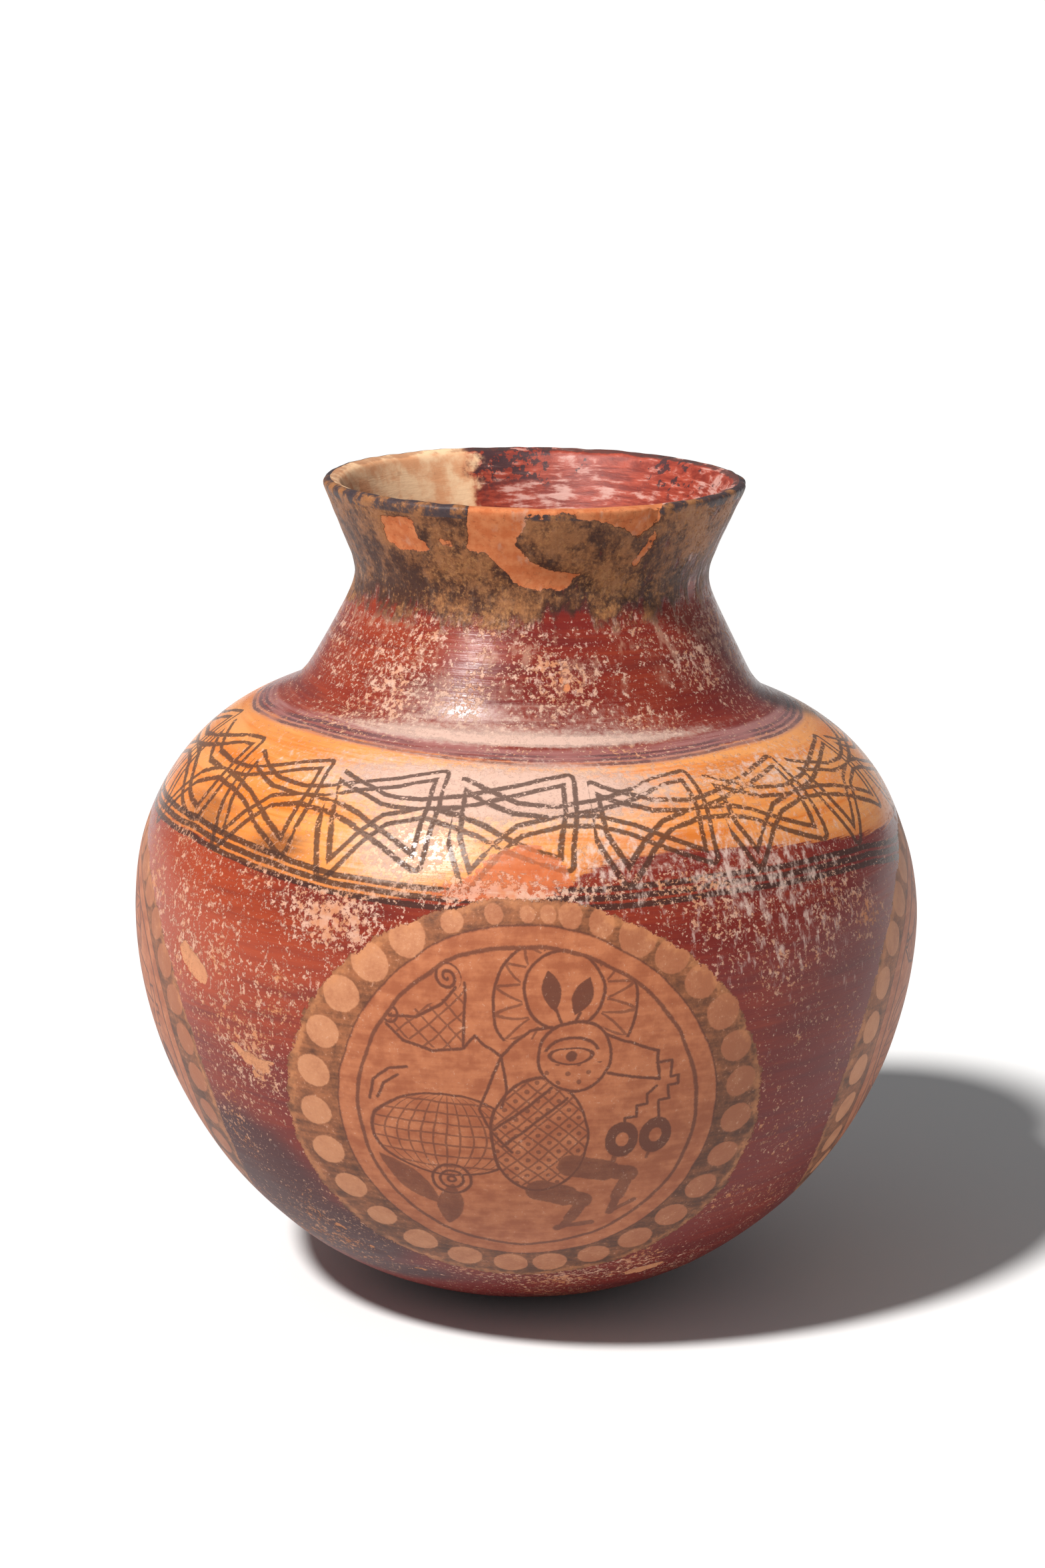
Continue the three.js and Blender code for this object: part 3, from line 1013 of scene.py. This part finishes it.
neck_colour = neck.mix(drip_stain * 0.55, neck_slip["Colour"], neck.mix(patches, drip_dark, drip_pale))
scratched = neck.waves(neck_lie, (0.55, 0.55, 0.13), 4, 0.65)
rubbed = neck.waves(neck_lie, (0.03, 0.03, 0.5), 4, 0.6)
streak_loss = neck.step(scratched + rubbed.by(0.5) + patches.by(0.3), 0.58, 0.68)
streak_loss = streak_loss * (1.0 - neck_slip["Bare"]) * 0.6
neck_colour = neck.mix(streak_loss, neck_colour, scratch_pale)
neck_colour = neck.mix(crusted * (1.0 - neck_slip["Bare"]) * 0.93, neck_colour, olive)
paint_edge = lip_along - lip_paint_low
paint_from = neck.step(neck_along + mottle.by(4), paint_edge - 0.5, paint_edge + 0.5)
paint_worn = neck.step(mottle + patches.by(0.5), 0.62, 0.5)
lip_paint = paint_from * paint_worn * (1.0 - neck_slip["Bare"]) * 0.85
neck_colour = neck.mix(lip_paint, neck_colour, lip_black)
neck_gloss = neck_slip["Roughness"] + crusted * 0.25
neck_height = neck_slip["Height"] + crusted * (1.0 - neck_slip["Bare"]) * (0.1 + mottle * 0.35)
neck_slot = neck.finish(neck_colour, neck_gloss, neck_height)
face_slots[(face_lie[:, 2] > neck_low) & (face_lie[:, 2] < lip_along)] = neck_slot

# The inside
# Rubbed red slip on one side of the mouth and bare, buff clay on the other, with soot along the lip. The
# buff is painted paler than the clay's own, as painted light on that wall.
# Deep down the lining turns plain and darker brown.
buff_from = -161  # degrees around; the buff side runs from here to the left side and on to the front
buff_to = -12
lip_paint_inside = 2.8  # how far the lip's paint runs down inside
# Painted light: both buff colours are paler than the clay, to show that wall as lit
buff_dark_with_painted_light = colour(232, 168, 122)
buff_pale_with_painted_light = colour(254, 212, 168)
red_dark = colour(134, 48, 36)
red_light = colour(186, 80, 58)
scuff_pale = colour(222, 178, 166)
soot_inside = colour(52, 44, 50)
deep_brown = colour(120, 72, 50)
lip_brown = colour(74, 56, 54)
inside_clay = colour(208, 124, 78)

within = MaterialWork("inside")
spot = within.place()
inside_lie = within.kept("lie")
across, ahead, inside_along = within.parts(inside_lie)
turn = within.calc("ARCTAN2", across, 0.0 - ahead) * (180 / math.pi)
smears = within.waves(inside_lie, (0.1, 0.1, 0.5), 5, 0.65)
mottle = within.waves(spot, 0.12, 5, 0.62)
patches = within.waves(spot, 0.05, 3)
deep = within.step(inside_along, lip_along + 40, lip_along + 130)
buff_side = within.step(turn + mottle.by(26) + patches.by(14), buff_from - 3, buff_from + 3)
buff_side = buff_side * within.step(turn, buff_to, buff_to - 2)
buff_with_painted_light = within.mix(within.step(mottle + patches.by(0.6), 0.38, 0.66), buff_dark_with_painted_light, buff_pale_with_painted_light)
red_inside = within.mix(within.step(smears, 0.35, 0.65), red_dark, red_light)
scuffed = within.step(smears + patches.by(0.5) + mottle.by(0.6), 0.5, 0.68)
red_inside = within.mix(scuffed * 0.75, red_inside, scuff_pale)
lining = within.mix(buff_side, red_inside, buff_with_painted_light)
soot_low = within.step(inside_along + mottle.by(26) + patches.by(20), lip_along + 20, lip_along + 10)
from_back = within.calc("WRAP", turn, 360.0, 0.0) - 180
sooty = within.step(abs(from_back - 8.5), 18, 8)
sooty = sooty + within.step(abs(from_back + 47), 16, 4) * 0.7
flaky = within.waves(spot, 0.3, 4, 0.65)
inside_soot = within.step(flaky + patches.by(0.3) + sooty * 0.2, 0.64, 0.69)
inside_soot = inside_soot * soot_low * (1.0 - buff_side * 0.85)
lining = within.mix(inside_soot * 0.85, lining, soot_inside)
lining = within.mix(deep * 0.7, lining, deep_brown)
paint_end = lip_along + lip_paint_inside
inside_paint = within.step(inside_along + mottle.by(5), paint_end, paint_end - 1)
inside_paint = inside_paint * within.step(mottle + patches.by(0.5), 0.62, 0.5)
inside_paint = inside_paint * (1.0 - buff_side * 0.6)
lining = within.mix(inside_paint * 0.8, lining, lip_brown)
inside_bare = within.step(within.parts(within.kept("coat"))[1] + mottle.by(3), -0.2, 0.2)
lining = within.mix(inside_bare, lining, inside_clay)
inside_gloss = 0.5 + mottle.by(0.3) + buff_side * 0.2
inside_height = smears.by(0.15) + mottle.by(0.15)
inside_slot = within.finish(lining, inside_gloss, inside_height)
face_slots[face_lie[:, 2] >= lip_along] = inside_slot

jar.data.polygons.foreach_set("material_index", face_slots)

# The studio
# A wide pale floor, a lamp like a low sun from the front left, and a pale sky all around.
floor_half_width = 30
floor_paleness = 0.72
lamp_azimuth = 42  # degrees to the left of the camera's side
lamp_height = 52
lamp_strength = 5.25
lamp_width = 6  # degrees, seen from the jar
bpy.ops.object.select_all(action="DESELECT")
bpy.ops.mesh.primitive_plane_add(size=2 * floor_half_width)
floor = bpy.context.active_object
floor.name = "floor"
floor_material = bpy.data.materials.new("pale_floor")
floor_material.use_nodes = True
floor_shader = floor_material.node_tree.nodes["Principled BSDF"]
floor_shader.inputs["Base Color"].default_value = (floor_paleness, floor_paleness, floor_paleness, 1)
floor_shader.inputs["Roughness"].default_value = 0.9
floor_shader.inputs["Specular IOR Level"].default_value = 0.0
floor.data.materials.append(floor_material)

lamp = bpy.data.objects.new("lamp", bpy.data.lights.new("lamp", "SUN"))
lamp.data.energy = lamp_strength
lamp.data.angle = math.radians(lamp_width)
lamp.data.color = (1.0, 0.98, 0.96)
side, up = math.radians(lamp_azimuth), math.radians(lamp_height)
towards_lamp = Vector((-math.sin(side) * math.cos(up), -math.cos(side) * math.cos(up), math.sin(up)))
lamp.rotation_euler = towards_lamp.to_track_quat("Z", "Y").to_euler()
bpy.context.scene.collection.objects.link(lamp)

sky_strength = 0.25
seen_strength = 1.05
sky = bpy.data.worlds.new("pale_sky")
sky.use_nodes = True
sky.node_tree.nodes["Background"].inputs["Color"].default_value = (0.96, 0.98, 1.0, 1)
backdrop = Brushwork(sky.node_tree)
seen = backdrop.field("LightPath", {})  # the camera sees the sky as white as the floor
strength = seen * (seen_strength - sky_strength) + sky_strength
sky.node_tree.links.new(strength.socket, sky.node_tree.nodes["Background"].inputs["Strength"])
bpy.context.scene.world = sky
bpy.context.scene.view_settings.view_transform = "Standard"

# The camera
# It stands in front of the jar and looks down on it a little, at the photograph's angle and distance.
focus_px = 5400
image_height_px = 2353
sensor = 36
camera_place = (-0.0014, -1.2018, 0.4578)
camera_pitch = 13.3  # degrees down
camera = bpy.data.objects.new("camera", bpy.data.cameras.new("camera"))
camera.data.sensor_width = sensor
camera.data.lens = sensor * focus_px / image_height_px
camera.location = camera_place
camera.rotation_euler = (math.radians(90 - camera_pitch), 0, 0)
bpy.context.scene.collection.objects.link(camera)
bpy.context.scene.camera = camera
